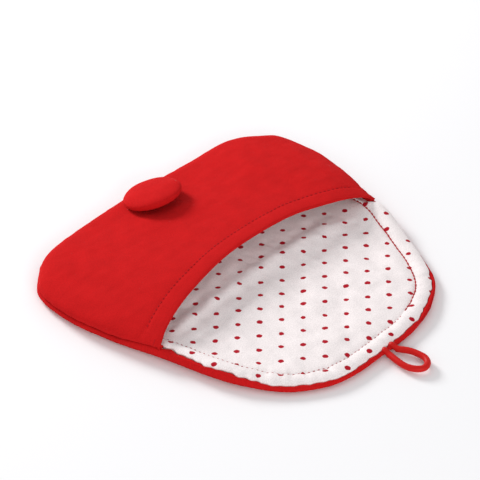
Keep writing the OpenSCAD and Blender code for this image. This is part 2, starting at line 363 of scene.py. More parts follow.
class Nodes:
    """Short names for making a node tree."""

    def __init__(self, name):
        self.material = bpy.data.materials.new(name)
        self.material.use_nodes = True
        self.tree = self.material.node_tree
        self.shader = self.tree.nodes["Principled BSDF"]

    def add(self, kind, **values):
        node = self.tree.nodes.new(kind)
        for key, value in values.items():
            setattr(node, key, value)
        return node

    def link(self, source, socket):
        self.tree.links.new(source, socket)

    def feed(self, socket, value):
        if isinstance(value, bpy.types.NodeSocket):
            self.link(value, socket)
        else:
            socket.default_value = value

    def math(self, operation, a, b=0.0, clamp=False):
        node = self.add("ShaderNodeMath", operation=operation, use_clamp=clamp)
        self.feed(node.inputs[0], a)
        self.feed(node.inputs[1], b)
        return node.outputs[0]

    def vector(self, operation, a, b=(0, 0, 0)):
        node = self.add("ShaderNodeVectorMath", operation=operation)
        self.feed(node.inputs[0], a)
        self.feed(node.inputs[1], b)
        return node.outputs["Value" if operation in ("DOT_PRODUCT", "LENGTH") else "Vector"]

    def times(self, a, factor):
        node = self.add("ShaderNodeVectorMath", operation="SCALE")
        self.feed(node.inputs[0], a)
        self.feed(node.inputs["Scale"], factor)
        return node.outputs["Vector"]

    def noise(self, place, scale, detail=3.0, colour=False):
        node = self.add("ShaderNodeTexNoise")
        self.feed(node.inputs["Vector"], place)
        node.inputs["Scale"].default_value = scale
        node.inputs["Detail"].default_value = detail
        return node.outputs["Color" if colour else "Fac"]

    def ramp(self, value, low, high):
        node = self.add("ShaderNodeMapRange", interpolation_type="SMOOTHSTEP")
        self.feed(node.inputs["Value"], value)
        node.inputs["From Min"].default_value = low
        node.inputs["From Max"].default_value = high
        return node.outputs["Result"]

    def mix(self, share, a, b):
        node = self.add("ShaderNodeMix", data_type="RGBA")
        self.feed(node.inputs["Factor"], share)
        self.feed(node.inputs["A"], a)
        self.feed(node.inputs["B"], b)
        return node.outputs["Result"]

    def bump(self, height, distance, strength, normal=None):
        node = self.add("ShaderNodeBump")
        node.inputs["Distance"].default_value = distance
        node.inputs["Strength"].default_value = strength
        self.link(height, node.inputs["Height"])
        if normal:
            self.link(normal, node.inputs["Normal"])
        return node.outputs["Normal"]

    def cloth_place(self):
        """The place on the flat cloth, in centimetres."""
        return self.add("ShaderNodeUVMap", uv_map="cloth").outputs["UV"]


def weave(nodes, place, threads_per_cm):
    """Height of a plain weave, 0 to 1, with threads of uneven thickness."""
    wander = nodes.times(nodes.vector("SUBTRACT", nodes.noise(place, 2.5, 2, True),
                                      (0.5, 0.5, 0.5)), 0.07)
    split = nodes.add("ShaderNodeSeparateXYZ")
    nodes.link(nodes.vector("ADD", place, wander), split.inputs[0])
    turn = math.pi * threads_per_cm
    u = nodes.math("SINE", nodes.math("MULTIPLY", split.outputs["X"], turn))
    v = nodes.math("SINE", nodes.math("MULTIPLY", split.outputs["Y"], turn))
    over = nodes.math("MULTIPLY", u, v)
    warp = nodes.math("ABSOLUTE", u)
    weft = nodes.math("ABSOLUTE", v)
    low = nodes.math("ADD", nodes.math("MULTIPLY", warp, 0.35), nodes.math("MULTIPLY", weft, 0.35))
    return nodes.math("ADD", low, nodes.math("MULTIPLY", over, 0.3))


def finish_cloth(nodes, colour, place, threads_per_cm, sheen, tint, depth):
    fine = weave(nodes, place, threads_per_cm)
    fuzz = nodes.noise(place, 14, 5)
    cloudy = nodes.noise(place, 0.9, 4)
    shade = nodes.math("ADD", nodes.math("MULTIPLY", fine, 0.10),
                       nodes.math("ADD", nodes.math("MULTIPLY", fuzz, 0.60),
                                  nodes.math("MULTIPLY", cloudy, 0.26)))
    darker = nodes.add("ShaderNodeMix", data_type="RGBA", blend_type="MULTIPLY")
    darker.inputs["Factor"].default_value = 1.0
    nodes.feed(darker.inputs["A"], colour)
    level = nodes.math("ADD", shade, 0.53)
    grey = nodes.add("ShaderNodeCombineColor")
    for channel in ("Red", "Green", "Blue"):
        nodes.link(level, grey.inputs[channel])
    nodes.link(grey.outputs["Color"], darker.inputs["B"])
    nodes.link(darker.outputs["Result"], nodes.shader.inputs["Base Color"])
    rough = nodes.math("ADD", nodes.math("MULTIPLY", fuzz, 0.12), 0.82)
    nodes.link(rough, nodes.shader.inputs["Roughness"])
    soft = nodes.bump(nodes.noise(place, 3.2, 4), 0.0006, 0.25)
    nodes.link(nodes.bump(fine, depth, 0.5, soft), nodes.shader.inputs["Normal"])
    nodes.shader.inputs["Specular IOR Level"].default_value = 0.03
    nodes.shader.inputs["Sheen Weight"].default_value = sheen
    nodes.shader.inputs["Sheen Roughness"].default_value = 0.5
    nodes.shader.inputs["Sheen Tint"].default_value = tint


RED = (0.53, 0.010, 0.011, 1)
DARK_RED = (0.26, 0.004, 0.007, 1)
WHITE = (0.87, 0.805, 0.80, 1)
DOT_RED = (0.42, 0.006, 0.018, 1)
CREAM = (0.80, 0.76, 0.66, 1)


def red_cloth():
    nodes = Nodes("red_cloth")
    finish_cloth(nodes, RED, nodes.cloth_place(), 22, 0.02, (1, 0.3, 0.3, 1), 0.00012)
    return nodes.material


# The dots' lattice, in centimetres on the flat lining: two steps and the place of one dot.
DOT_STEPS = ((1.057, -0.790), (-0.925, -0.833))
DOT_PLACE = (2.39, -3.556)
DOT_RADIUS = 0.155


def dot_mask(nodes, place):
    """1 inside a dot and 0 on the ground between the dots."""
    (ax, ay), (bx, by) = DOT_STEPS
    det = ax * by - ay * bx
    rough = nodes.times(nodes.vector("SUBTRACT", nodes.noise(place, 7, 2, True),
                                     (0.5, 0.5, 0.5)), 0.11)
    offset = nodes.vector("SUBTRACT", nodes.vector("ADD", place, rough), (*DOT_PLACE, 0))
    u = nodes.vector("DOT_PRODUCT", offset, (by / det, -bx / det, 0))
    v = nodes.vector("DOT_PRODUCT", offset, (-ay / det, ax / det, 0))
    whole_u, whole_v = nodes.math("ROUND", u), nodes.math("ROUND", v)
    step_u = nodes.times((ax, ay, 0), nodes.math("SUBTRACT", u, whole_u))
    step_v = nodes.times((bx, by, 0), nodes.math("SUBTRACT", v, whole_v))
    away = nodes.vector("ADD", step_u, step_v)
    longways = nodes.math("MULTIPLY", nodes.vector("DOT_PRODUCT", away, (0.65, -0.76, 0)), 0.92)
    sideways = nodes.math("MULTIPLY", nodes.vector("DOT_PRODUCT", away, (0.76, 0.65, 0)), 1.08)
    away = nodes.add("ShaderNodeCombineXYZ")
    nodes.link(longways, away.inputs[0])
    nodes.link(sideways, away.inputs[1])
    cell = nodes.add("ShaderNodeCombineXYZ")
    nodes.link(whole_u, cell.inputs[0])
    nodes.link(whole_v, cell.inputs[1])
    random = nodes.add("ShaderNodeTexWhiteNoise", noise_dimensions="3D")
    nodes.link(cell.outputs[0], random.inputs["Vector"])
    size = nodes.math("ADD", nodes.math("MULTIPLY", random.outputs["Value"], 0.03),
                      DOT_RADIUS - 0.015)
    gap = nodes.math("SUBTRACT", nodes.vector("LENGTH", away.outputs[0]), size)
    return nodes.math("SUBTRACT", 1.0, nodes.ramp(gap, -0.012, 0.018))


def white_lining():
    nodes = Nodes("white_lining")
    place = nodes.cloth_place()
    colour = nodes.mix(dot_mask(nodes, place), WHITE, DOT_RED)
    finish_cloth(nodes, colour, place, 26, 0.08, (1, 1, 1, 1), 0.0001)
    return nodes.material


def wadding_material():
    nodes = Nodes("wadding")
    place = nodes.cloth_place()
    colour = nodes.mix(nodes.noise(place, 5, 6), CREAM, (0.9, 0.87, 0.78, 1))
    nodes.link(colour, nodes.shader.inputs["Base Color"])
    nodes.link(nodes.bump(nodes.noise(place, 22, 6), 0.0008, 0.7), nodes.shader.inputs["Normal"])
    nodes.shader.inputs["Roughness"].default_value = 0.95
    return nodes.material


def thread_material(name, place_of):
    nodes = Nodes(name)
    place = place_of(nodes)
    split = nodes.add("ShaderNodeSeparateXYZ")
    nodes.link(place, split.inputs[0])
    slant = nodes.math("ADD", nodes.math("MULTIPLY", split.outputs["X"], 120),
                       nodes.math("MULTIPLY", split.outputs["Y"], 100))
    ply = nodes.math("ABSOLUTE", nodes.math("SINE", slant))
    nodes.link(nodes.mix(ply, DARK_RED, (0.55, 0.012, 0.018, 1)), nodes.shader.inputs["Base Color"])
    nodes.link(nodes.bump(ply, 0.00008, 0.6), nodes.shader.inputs["Normal"])
    nodes.link(nodes.math("ADD", nodes.math("MULTIPLY", ply, 0.15), 0.45),
               nodes.shader.inputs["Roughness"])
    nodes.shader.inputs["Specular IOR Level"].default_value = 0.1
    return nodes.material


def object_place(nodes):
    """A carried-over CAD node has no flat cloth, so it takes its own coordinates, in centimetres."""
    return nodes.times(nodes.add("ShaderNodeTexCoord").outputs["Object"], 100.0)


def cord_material():
    """A round woven cord with a smooth, slightly glossy jacket."""
    nodes = Nodes("loop_cord")
    place = nodes.cloth_place()
    split = nodes.add("ShaderNodeSeparateXYZ")
    nodes.link(place, split.inputs[0])
    across = nodes.math("MULTIPLY", split.outputs["Y"], 2 * math.pi * 10)
    length = nodes.math("MULTIPLY", split.outputs["X"], 2 * math.pi * 9)
    rib = nodes.math("SINE", nodes.math("ADD", length, across))
    counter = nodes.math("SINE", nodes.math("SUBTRACT", length, across))
    braid = nodes.math("ADD", nodes.math("MULTIPLY", nodes.math("MULTIPLY", rib, counter), 0.5), 0.5)
    nodes.link(nodes.mix(braid, (0.47, 0.007, 0.006, 1), (0.64, 0.013, 0.010, 1)),
               nodes.shader.inputs["Base Color"])
    nodes.link(nodes.bump(braid, 0.00006, 0.35), nodes.shader.inputs["Normal"])
    nodes.link(nodes.math("ADD", nodes.math("MULTIPLY", braid, 0.1), 0.38),
               nodes.shader.inputs["Roughness"])
    nodes.shader.inputs["Specular IOR Level"].default_value = 0.14
    return nodes.material


def metal_material():
    nodes = Nodes("button_metal")
    place = object_place(nodes)
    worn = nodes.noise(place, 30, 5)
    nodes.link(nodes.mix(worn, (0.62, 0.62, 0.64, 1), (0.8, 0.8, 0.82, 1)),
               nodes.shader.inputs["Base Color"])
    nodes.link(nodes.math("ADD", nodes.math("MULTIPLY", worn, 0.25), 0.25),
               nodes.shader.inputs["Roughness"])
    nodes.link(nodes.bump(worn, 0.00002, 0.4), nodes.shader.inputs["Normal"])
    nodes.shader.inputs["Metallic"].default_value = 1.0
    return nodes.material


def make_materials():
    MATERIALS["red"] = red_cloth()
    MATERIALS["lining"] = white_lining()
    MATERIALS["wadding"] = wadding_material()
    MATERIALS["thread"] = thread_material("thread", Nodes.cloth_place)
    MATERIALS["hidden_thread"] = thread_material("hidden_thread", object_place)
    MATERIALS["cord"] = cord_material()
    MATERIALS["metal"] = metal_material()


make_materials()

# ---- camera, lights and floor -----------------------------------------------------------------

LOOK_AT = (0.020, 0.0316, 0.0)
CAMERA_AT = (-0.840, -0.7790, 0.9235)


def aim(thing, at, target):
    thing.location = at
    thing.rotation_euler = (Vector(target) - Vector(at)).to_track_quat("-Z", "Y").to_euler()


def add_camera():
    camera = bpy.data.objects.new("camera", bpy.data.cameras.new("camera"))
    camera.data.lens = 180
    camera.data.sensor_width = 36
    camera.data.clip_start = 0.01
    aim(camera, CAMERA_AT, LOOK_AT)
    bpy.context.collection.objects.link(camera)
    bpy.context.scene.camera = camera


def add_area(name, at, size, power):
    light = bpy.data.lights.new(name, "AREA")
    light.shape = "DISK"
    light.size = size
    light.energy = power
    lamp = bpy.data.objects.new(name, light)
    aim(lamp, at, (0, 0, 0))
    bpy.context.collection.objects.link(lamp)


def add_surroundings():
    world = bpy.data.worlds.new("studio")
    world.use_nodes = True
    world.node_tree.nodes["Background"].inputs["Color"].default_value = (0.995, 0.99, 1, 1)
    world.node_tree.nodes["Background"].inputs["Strength"].default_value = 0.62
    bpy.context.scene.world = world
    bpy.context.scene.view_settings.view_transform = "Standard"
    add_area("key", (0.05, 1.4, 0.72), 0.5, 20.5)
    add_area("fill", (-0.75, -1.35, 0.6), 0.9, 9)
    mesh = bpy.data.meshes.new("floor")
    mesh.from_pydata([(-8, -8, 0), (8, -8, 0), (8, 8, 0), (-8, 8, 0)], [], [(0, 1, 2, 3)])
    floor = bpy.data.objects.new("floor", mesh)
    nodes = Nodes("floor")
    nodes.shader.inputs["Base Color"].default_value = (0.91, 0.91, 0.92, 1)
    nodes.shader.inputs["Roughness"].default_value = 0.9
    nodes.shader.inputs["Specular IOR Level"].default_value = 0.1
    mesh.materials.append(nodes.material)
    floor.location = (0, 0, -0.0003)
    bpy.context.collection.objects.link(floor)


add_camera()
add_surroundings()

# ---- hanging loop ------------------------------------------------------------------------------

CORD_D = 4.0
CORD_Z = JOINTS["loop_swing"]["pos_m"][2] / MM
SWING_Y = JOINTS["loop_swing"]["pos_m"][1] / MM
LEG_IN = 8.0
# The loop's route from the swing axis outwards, as [across, away from the mitt].
LOOP_ROUTE = [
    (-2.3, 0), (-2.5, 2), (-2.9, 4.4), (-3.3, 7), (-3.6, 9.6), (-3.7, 12.2), (-3.4, 14.8),
    (-2.6, 17.4), (-1.2, 19.8), (0.7, 21.7), (3, 22.7), (5.6, 22.4), (7.9, 21),
    (9.5, 18.7), (10.2, 16.2), (10.1, 13.6), (9.8, 11), (9.3, 8.6), (8.5, 6.4),
    (7.4, 4.2), (6.0, 2), (4.9, 0),
]


def tube(name, path, radius, sides, material, squeezed):
    """A closed tube along a flat path, with domed ends. It is thinner than its full size up to
    the second of the two distances in squeezed."""
    s = along(path)
    way = np.gradient(path, axis=0)
    way /= np.linalg.norm(way, axis=1)[:, None]
    up = np.array([0, 0, 1.0])
    side = np.cross(way, up)
    reach = np.minimum(s, s[-1] - s)
    end = np.clip(reach / radius, 0, 1)
    size = radius * np.sqrt(np.clip(1 - (1 - end) ** 2, 0.02, 1)) * (0.5 + 0.5 * ramp(reach, *squeezed))
    turn = np.arange(sides) * 2 * math.pi / sides
    rings, flat = [], []
    for k in range(len(path)):
        rings.append(path[k] + size[k] * (np.cos(turn)[:, None] * side[k]
                                          + np.sin(turn)[:, None] * up))
        flat.append(np.stack([np.full(sides, s[k]), 10 * turn / (2 * math.pi)], axis=1))
    return rings_piece(name, rings, flat, material)


def make_loop():
    inner = SWING_Y - (PALM_Y + LEG_IN)
    route = [(-2.15, inner), (-2.15, inner / 2)] + LOOP_ROUTE + [(4.0, inner / 2), (3.2, inner)]
    plan = catmull([(x, SWING_Y - out, CORD_Z) for x, out in route], 8, False)
    path = resample(plan, 150)
    # The legs climb over the rolled rim, and are squeezed thin under the lining.
    over_rim = 1.3 * bump(path[:, 1], PALM_Y + 0.9, 2.2)
    path[:, 2] += over_rim - 0.4 * ramp(path[:, 1], PALM_Y + 2, PALM_Y + 5)
    cord = tube("hanging_cord", path, CORD_D / 2, 20, "cord", (2.2, 5.8))
    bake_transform(cord)
    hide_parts("hanging_loop", "loop_ends")


make_loop()

# ---- cloth simulation --------------------------------------------------------------------------


def simulate_folds(name, low, high, held, slack, lift, frames=24, pitch=3.0):
    """Height of a cloth that is cut a little too large for the patch that it is sewn round.
    held(x, y) is 1 where the cloth is held. slack is the spare cloth along X and along Y, and
    the highest fold is brought to lift. Returns a function of x and y."""
    xs = np.arange(low[0], high[0] + pitch, pitch)
    ys = np.arange(low[1], high[1] + pitch, pitch)
    gx, gy = np.meshgrid(xs, ys, indexing="ij")
    seed = 0.25 * ripple(gx, gy, 22, 62) + 0.15 * ripple(gx, gy, 9, 63)
    grid = np.stack([gx, gy, seed], axis=2)
    piece = grid_piece(name, grid, grid[:, :, :2], "lining")
    pins = piece.vertex_groups.new(name="held")
    weight = np.clip(held(gx, gy), 0, 1).ravel()
    for i, w in enumerate(weight):
        if w > 0.01:
            pins.add([int(i)], float(w), "REPLACE")
    piece.shape_key_add(name="Basis")
    cut = piece.shape_key_add(name="cut")
    middle = (np.array(low) + np.array(high)) / 2
    flat = np.stack([middle[0] + (gx - middle[0]) * (1 + slack[0]),
                     middle[1] + (gy - middle[1]) * (1 + slack[1]), 0 * gx], axis=2)
    cut.data.foreach_set("co", (flat.reshape(-1, 3) * MM).ravel())
    cloth = piece.modifiers.new("cloth", "CLOTH")
    cloth.settings.quality = 8
    cloth.settings.mass = 0.15
    cloth.settings.tension_stiffness = 25
    cloth.settings.compression_stiffness = 25
    cloth.settings.shear_stiffness = 8
    cloth.settings.bending_stiffness = 0.6
    cloth.settings.vertex_group_mass = "held"
    cloth.settings.rest_shape_key = cut
    cloth.settings.effector_weights.gravity = 0
    cloth.collision_settings.use_collision = False
    cloth.point_cache.frame_end = frames
    scene = bpy.context.scene
    for f in range(1, frames + 1):
        scene.frame_set(f)
    graph = bpy.context.evaluated_depsgraph_get()
    done = piece.evaluated_get(graph).to_mesh()
    z = np.array([v.co[2] for v in done.vertices]).reshape(gx.shape) / MM
    piece.evaluated_get(graph).to_mesh_clear()
    bpy.data.objects.remove(piece)
    scene.frame_set(1)
    z = z * lift / max(np.percentile(np.abs(z), 98), 1e-3)
    z = np.clip(z, -1.5 * lift, 1.5 * lift)

    def height(x, y):
        u = np.clip((np.asarray(x) - xs[0]) / pitch, 0, len(xs) - 1.001)
        v = np.clip((np.asarray(y) - ys[0]) / pitch, 0, len(ys) - 1.001)
        i, j = u.astype(int), v.astype(int)
        fu, fv = u - i, v - j
        fu, fv = fu * fu * (3 - 2 * fu), fv * fv * (3 - 2 * fv)
        return ((z[i, j] * (1 - fu) + z[i + 1, j] * fu) * (1 - fv)
                + (z[i, j + 1] * (1 - fu) + z[i + 1, j + 1] * fu) * fv)

    return height


def outside_pad(x, y, inset):
    """1 outside the outline drawn in by an inset, and 0 well inside it."""
    p = pad_ring(inset)
    half = p[: RIM_POINTS // 2]
    width = np.interp(y, half[:, 1], half[:, 0])
    beyond = np.maximum(np.abs(x) - width, np.maximum(p[:, 1].min() - y, y - p[:, 1].max()))
    return ramp(beyond, -1, 1)


def held_lining(x, y):
    return np.maximum(outside_pad(x, y, RIM_STITCH_IN), ramp(y, 22, 26))


def held_pocket(x, y):
    return np.maximum(outside_pad(x, y, 10), ramp(mouth_line(x) + HEM - y, -1, 1))


LINING_FOLDS = simulate_folds("lining_patch", (-100, PALM_Y), (100, 34), held_lining,
                              (0.006, 0.022), 0.75)
POCKET_FOLDS = simulate_folds("pocket_patch", (-112, MOUTH_Y), (112, FINGER_Y), held_pocket,
                              (0.008, 0.004), 0.4)

# ---- pad ---------------------------------------------------------------------------------------

LINING_T = 0.55


def across_fold(piece, slot, *nodes):
    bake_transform(piece)
    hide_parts(*nodes)


def rim_ring(inset, z):
    p = pad_ring(inset)
    return np.column_stack([p, np.broadcast_to(z, RIM_POINTS)])


def back_profile():
    """Insets and heights of the back cover's outside, from the middle of its underside, round
    the rolled rim and into the seam."""
    swell = 0.25 * rim_noise(24, 11) + 0.14 * PUCKER
    edge = RED_EDGE
    section = [(d, 0.0) for d in np.arange(95.0, 8.0, -4.0)] + [
        (7.0, 0.0), (4.6, 0.12), (3.0, 0.4),
        (1.7, 0.85 + 0.1 * swell), (0.8 - 0.2 * swell, 1.5), (0.25 - 0.4 * swell, 2.2),
        (0.0 - 0.5 * swell, 2.9 + 0.1 * swell), (0.08 * edge - 0.5 * swell, 3.6 + 0.15 * swell),
        (0.25 * edge - 0.3 * swell, 4.25 + 0.2 * swell), (0.5 * edge, 4.6 + 0.2 * swell),
        (0.75 * edge, 4.6 + 0.1 * swell), (0.93 * edge, 4.3), (edge + 0.1, 3.8),
        (edge + 0.3, 3.3),
    ]
    stretch = 1 + RIM_LIFT / 4.6 - 0.22 * RIGHT_SIDE
    return [(d, z * stretch) for d, z in section]


def make_back():
    outer = back_profile()
    rings = [rim_ring(d, z) for d, z in outer]
    inner = []
    for d, z in outer[::-1]:
        grown = np.where(np.asarray(z) > 0.8, np.minimum(d + 0.75, RED_EDGE + 0.9), d + 0.3)
        inner.append(rim_ring(grown, np.minimum(np.asarray(z) * 0.86 + 0.7, 3.2 + 0.7 * RIM_LIFT)))
    uv = [r[:, :2] for r in rings + inner]
    back = rings_piece("back_cover", rings + inner, uv, "red")
    across_fold(back, "red_cloth", "back_cover_finger", "back_cover_palm")


def lining_height(x, y, inset, edge, s, lift, row):
    """Top of the lining. inset is from the rim, edge is where it comes out of the seam, and row
    is where the topstitching runs."""
    near = np.clip((inset - edge) / (row - edge), 0, 1)
    puff = 4.35 + 0.35 * near + 1.75 * np.sin(math.pi * near) ** 0.75
    inside = 4.7 + (LINING_Z + 0.25 - 4.7) * (1 - np.exp(-np.clip(inset - row, 0, 99) / 3.2))
    z = np.where(inset < row, puff, inside)
    open_part = ramp(mouth_line(x) + 14 - y, 0, 12)
    low_end = ramp(-40 - y, 0, 40)
    pucker = np.clip(ripple(s * 0.9, inset * 0.15, 6.5, 21), -1.3, 1.3)
    z = z + (0.14 + 0.34 * low_end) * pucker * bump(inset, row - 1.5, 6) * open_part
    soft = ramp(inset, 13, 24) * open_part
    z = z + soft * (0.3 * ripple(x, y, 34, 22) + 0.14 * ripple(x, y, 13, 23))
    z = z + soft * LINING_FOLDS(x, y)
    crease_y = 4.2 - 0.0007 * (x + 5) ** 2
    middle = ramp(84 - np.abs(x + 3), 0, 24)
    ridge_y = crease_y - 7
    flank = np.where(y > ridge_y, 6.5, 3.2 + 3.3 * ramp(x, -30, 40))
    z = z + middle * (1.9 * bump(y, ridge_y, flank) - 0.5 * bump(y, crease_y + 1.5, 3.2))
    z = z + lift * ramp(24 - inset, 0, 21)
    z = z + 1.0 * bump(x, 0, 4.5) * ramp(-95 - y, 0, 5)
    under_pocket = ramp(y - mouth_line(x) - 2, 0, 20)
    return np.where(under_pocket > 0, np.minimum(z, 6.3 + lift + (1 - under_pocket) * 9), z)


def pad_insets():
    fine = np.concatenate([np.linspace(0, 1, 12)[1:] ** 1.3 * 10, np.arange(10.6, 14.5, 0.42)])
    return np.concatenate([fine, np.arange(14.8, 30, 1.1), np.arange(30, 97, 1.7)])


def under_seam(z, inset):
    """Presses the lining down where the pocket's side seam stands on it."""
    pressed = np.minimum(z, 3.5 + 0.17 * inset + RIM_LIFT + 9 * (1 - ON_POCKET))
    return np.where(ON_POCKET * ramp(14 - inset, 0, 5) > 0.01, pressed, z)


def make_lining():
    edge = RED_EDGE + 1.6 * ON_POCKET
    insets = pad_insets()
    drop = RIM_LIFT - 1.0 * RIGHT_SIDE
    tops, unders = [rim_ring(edge + 0.25, 3.85 + drop)], [rim_ring(edge + 0.85, 3.45 + drop)]
    for d in insets:
        t = min(d / RIM_STITCH_IN, 1)
        back = STITCH_IN + (d - RIM_STITCH_IN)
        inset = edge + (STITCH_IN - edge) * t if t < 1 else back + (d - back) * ramp(d, 13, 30)
        p = pad_ring(inset)
        z = lining_height(p[:, 0], p[:, 1], inset, edge, RIM_S, RIM_LIFT, STITCH_IN)
        z = under_seam(z, inset)
        tops.append(np.column_stack([p, z]))
        unders.append(np.column_stack([p, z - LINING_T]))
    rings = unders[::-1] + tops
    uv = [r[:, :2] for r in rings]
    lining = rings_piece("pad_lining", rings, uv, "lining")
    across_fold(lining, "white_lining", "lining_finger", "lining_palm")


def make_wadding():
    under = [(d, 0.95) for d in np.arange(95.0, 8.0, -4.0)]
    under += [(7.0, 0.95), (5.0, 1.2), (4.2, 1.8), (4.1, 2.6), (4.3, 3.2)]
    rings = [rim_ring(d, z) for d, z in under]
    for d in np.concatenate([np.arange(5, 30, 1.6), np.arange(30, 97, 1.9)]):
        p = pad_ring(d)
        z = lining_height(p[:, 0], p[:, 1], np.full(RIM_POINTS, d), RED_EDGE, RIM_S, RIM_LIFT,
                          STITCH_IN)
        z = np.minimum(z, 6.2 + RIM_LIFT * ramp(np.array(24 - d), 0, 21))
        rings.append(np.column_stack([p, np.maximum(under_seam(z, d) - 0.95, 3.2)]))
    piece = rings_piece("pad_wadding", rings, [r[:, :2] for r in rings], "wadding")
    across_fold(piece, "wadding", "wadding_finger", "wadding_palm")


def make_rim_stitching():
    """The row of topstitching: tight up the right side, and looser round the rest."""
    inset = STITCH_IN + 0.3 * rim_noise(34, 31)
    p = pad_ring(inset)
    z = lining_height(p[:, 0], p[:, 1], inset, RED_EDGE, RIM_S, RIM_LIFT, STITCH_IN)
    path = np.column_stack([p, z + 0.05])
    order = np.roll(np.arange(RIM_POINTS), RIM_POINTS // 2)
    shown = p[order, 1] < mouth_line(p[order, 0]) + 22
    right = shown & (p[order, 0] > 30) & (p[order, 1] > -92)
    rest = shown & ~right
    up = np.tile([0, 0, 1.0], (RIM_POINTS, 1))
    tight = stitch_row(path[order][right], up[right], 3.0, 0.1, 1.0, 0.2)
    loose = stitch_row(path[order][rest], up[rest], 1.7, 1.4, 0.4, 0.24)
    piece = stitch_piece("rim_stitching", [tight, loose], "thread")
    across_fold(piece, "thread", "rim_stitching_finger", "rim_stitching_palm")


make_back()
make_lining()
make_wadding()
make_rim_stitching()

# ---- pocket ------------------------------------------------------------------------------------

POCKET_CENTRE = (0.0, PALM_Y + 78)
POCKET_STRAIGHT = 8.0
ROWS = 84
COVER_T, WADDING_T = 0.75, 1.7
LIP_R = 1.2
# The pocket's side wall from the seam to its shoulder, as [inset from the rim, height].
WALL = [(4.6, 3.4), (4.0, 4.7), (3.0, 5.0), (2.0, 5.35), (1.0, 5.72), (0.4, 6.15), (0.1, 7.0),
        (0, 8.3), (0.2, 9.8), (0.9, 11.4), (2.4, 12.8)]


def crown(d):
    return CORNER_Z + (MOUTH_Z - CORNER_Z) * (1 - (1 - d / 100) ** 2) ** 0.7


def share(y):
    """How much of its height the pocket keeps towards the finger edge."""
    run = np.clip((y - MOUTH_Y - MOUTH_RECESS) / (FINGER_Y - MOUTH_Y - MOUTH_RECESS), 0, 1)
    return 1 - (1 - FINGER_SHARE) * run ** 1.2


def pocket_section():
    roof = [(d, crown(d)) for d in (5, 8, 12, 18, 26, 36, 48, 62, 78, 96)]
    return resample(catmull(WALL + roof, 12, False), 700)


def pocket_columns():
    """The rim points that the pocket's side seam runs along, from its right to its left corner."""
    return np.flatnonzero(RIM[:, 1] + MOUTH_LEFT * (RIM[:, 0] < 0) >= MOUTH_Y - 0.5)


def pocket_grid():
    section = pocket_section()
    columns = pocket_columns()
    rim, outward = RIM[columns], OUTWARD[columns]
    first = int(np.argmin(np.abs(section[:, 1] - CORNER_Z + 0.3)))
    lean = 1.6 * ramp(rim[:, 1], 35, 90) + 2.0 * ramp(rim[:, 0], 45, 90) * bump(rim[:, 1], MOUTH_Y, 22)
    right_side = 3.1 * ramp(rim[:, 0], 45, 90) * ramp(rim[:, 1], MOUTH_Y - 16, MOUTH_Y + 26)
    far_side = (0.2 + 0.8 * ramp(40 - rim[:, 0], 0, 60)) * ramp(rim[:, 1], 60, 92)
    places = []
    for d, h in section:
        away = d + lean * ramp(np.array(h), 5.5, 9) * ramp(np.array(45 - d), 0, 30)
        p = inward(rim, outward, away, POCKET_CENTRE, POCKET_STRAIGHT)
        z = SEAM_Z + (h - SEAM_Z) * share(p[:, 1]) + RIM_LIFT[columns] * ramp(12.5 - h, 0, 7.5)
        z = z + right_side * ramp(np.array(h), 6, 10) * ramp(np.array(55 - d), 0, 40)
        z = z + far_side * ramp(np.array(h), 6, 10) * bump(np.array(d), 2, 9)
        places.append(np.column_stack([p, z]))
    places = np.stack(places, axis=1)
    grid = np.zeros((len(columns), ROWS, 3))
    for c in range(len(columns)):
        p = places[c]
        out = np.flatnonzero(p[:, 1] < mouth_line(p[:, 0]))
        out = out[out >= first]
        last = out[0] if len(out) else len(section) - 1
        if last > first:
            a, b = p[last - 1], p[last]
            ga, gb = a[1] - mouth_line(a[0]), b[1] - mouth_line(b[0])
            last = last - 1 + ga / max(ga - gb, 1e-6)
        at = last * (np.arange(ROWS) / (ROWS - 1)) ** 1.45
        for k in range(3):
            grid[c, :, k] = np.interp(at, np.arange(len(section)), p[:, k])
    return grid


def soften(grid):
    """Wrinkles, the hem's stitch line and the pull of the button, moved along the normals."""
    normals = grid_normals(grid)
    x, y = grid[:, :, 0], grid[:, :, 1]
    columns = pocket_columns()
    s = RIM_S[columns][:, None]
    path = np.linalg.norm(np.diff(grid, axis=1), axis=2)
    climb = np.concatenate([np.zeros((len(grid), 1)), np.cumsum(path, axis=1)], axis=1)
    slope = np.gradient(mouth_line(np.linspace(-CORNER_X, CORNER_X, 197)))
    tilt = np.interp(x, np.linspace(-CORNER_X, CORNER_X, 197), slope)
    behind = (y - mouth_line(x)) / np.sqrt(1 + tilt ** 2)
    move = 0.28 * ripple(x, y, 62, 41) + 0.14 * ripple(x, y, 27, 42) + POCKET_FOLDS(x, y)
    move = move * ramp(climb, 3, 22) * ramp(behind, 6, 24)
    seam_pull = 0.17 * ripple(s, climb * 0.2, 9, 43) + 0.1 * ripple(s, climb * 0.3, 5, 44)
    move = move + seam_pull * bump(climb, 3.5, 5.0)
    move = move - 0.34 * bump(behind, HEM, 0.75) * ramp(climb, 3, 9)
    move = move + 0.1 * ripple(x, y * 0.2, 5.5, 45) * bump(behind, HEM, 3.5) * ramp(climb, 3, 9)
    move = move + 0.22 * ramp(behind, 0.3, 2.5) * ramp(HEM - behind, 0.4, 2.5) * ramp(climb, 4, 14)
    button = BUTTON_ORIGIN
    near = np.hypot(x - button[0], y - button[1])
    move = move - 0.5 * bump(near, 0, 6.0) + 0.18 * bump(near, 25, 9)
    return grid + normals * move[:, :, None], behind


def unfolded(grid):
    """Each point's place on the flat cloth: its plan place, pushed outwards down the wall."""
    columns = pocket_columns()
    flat = grid[:, :, :2].copy()
    drop = np.clip(11 - grid[:, :, 2], 0, 8)
    near = bump(np.linalg.norm(grid[:, :, :2] - RIM[columns][:, None], axis=2), 0, 6)
    return flat + OUTWARD[columns][:, None] * (drop * near)[:, :, None]


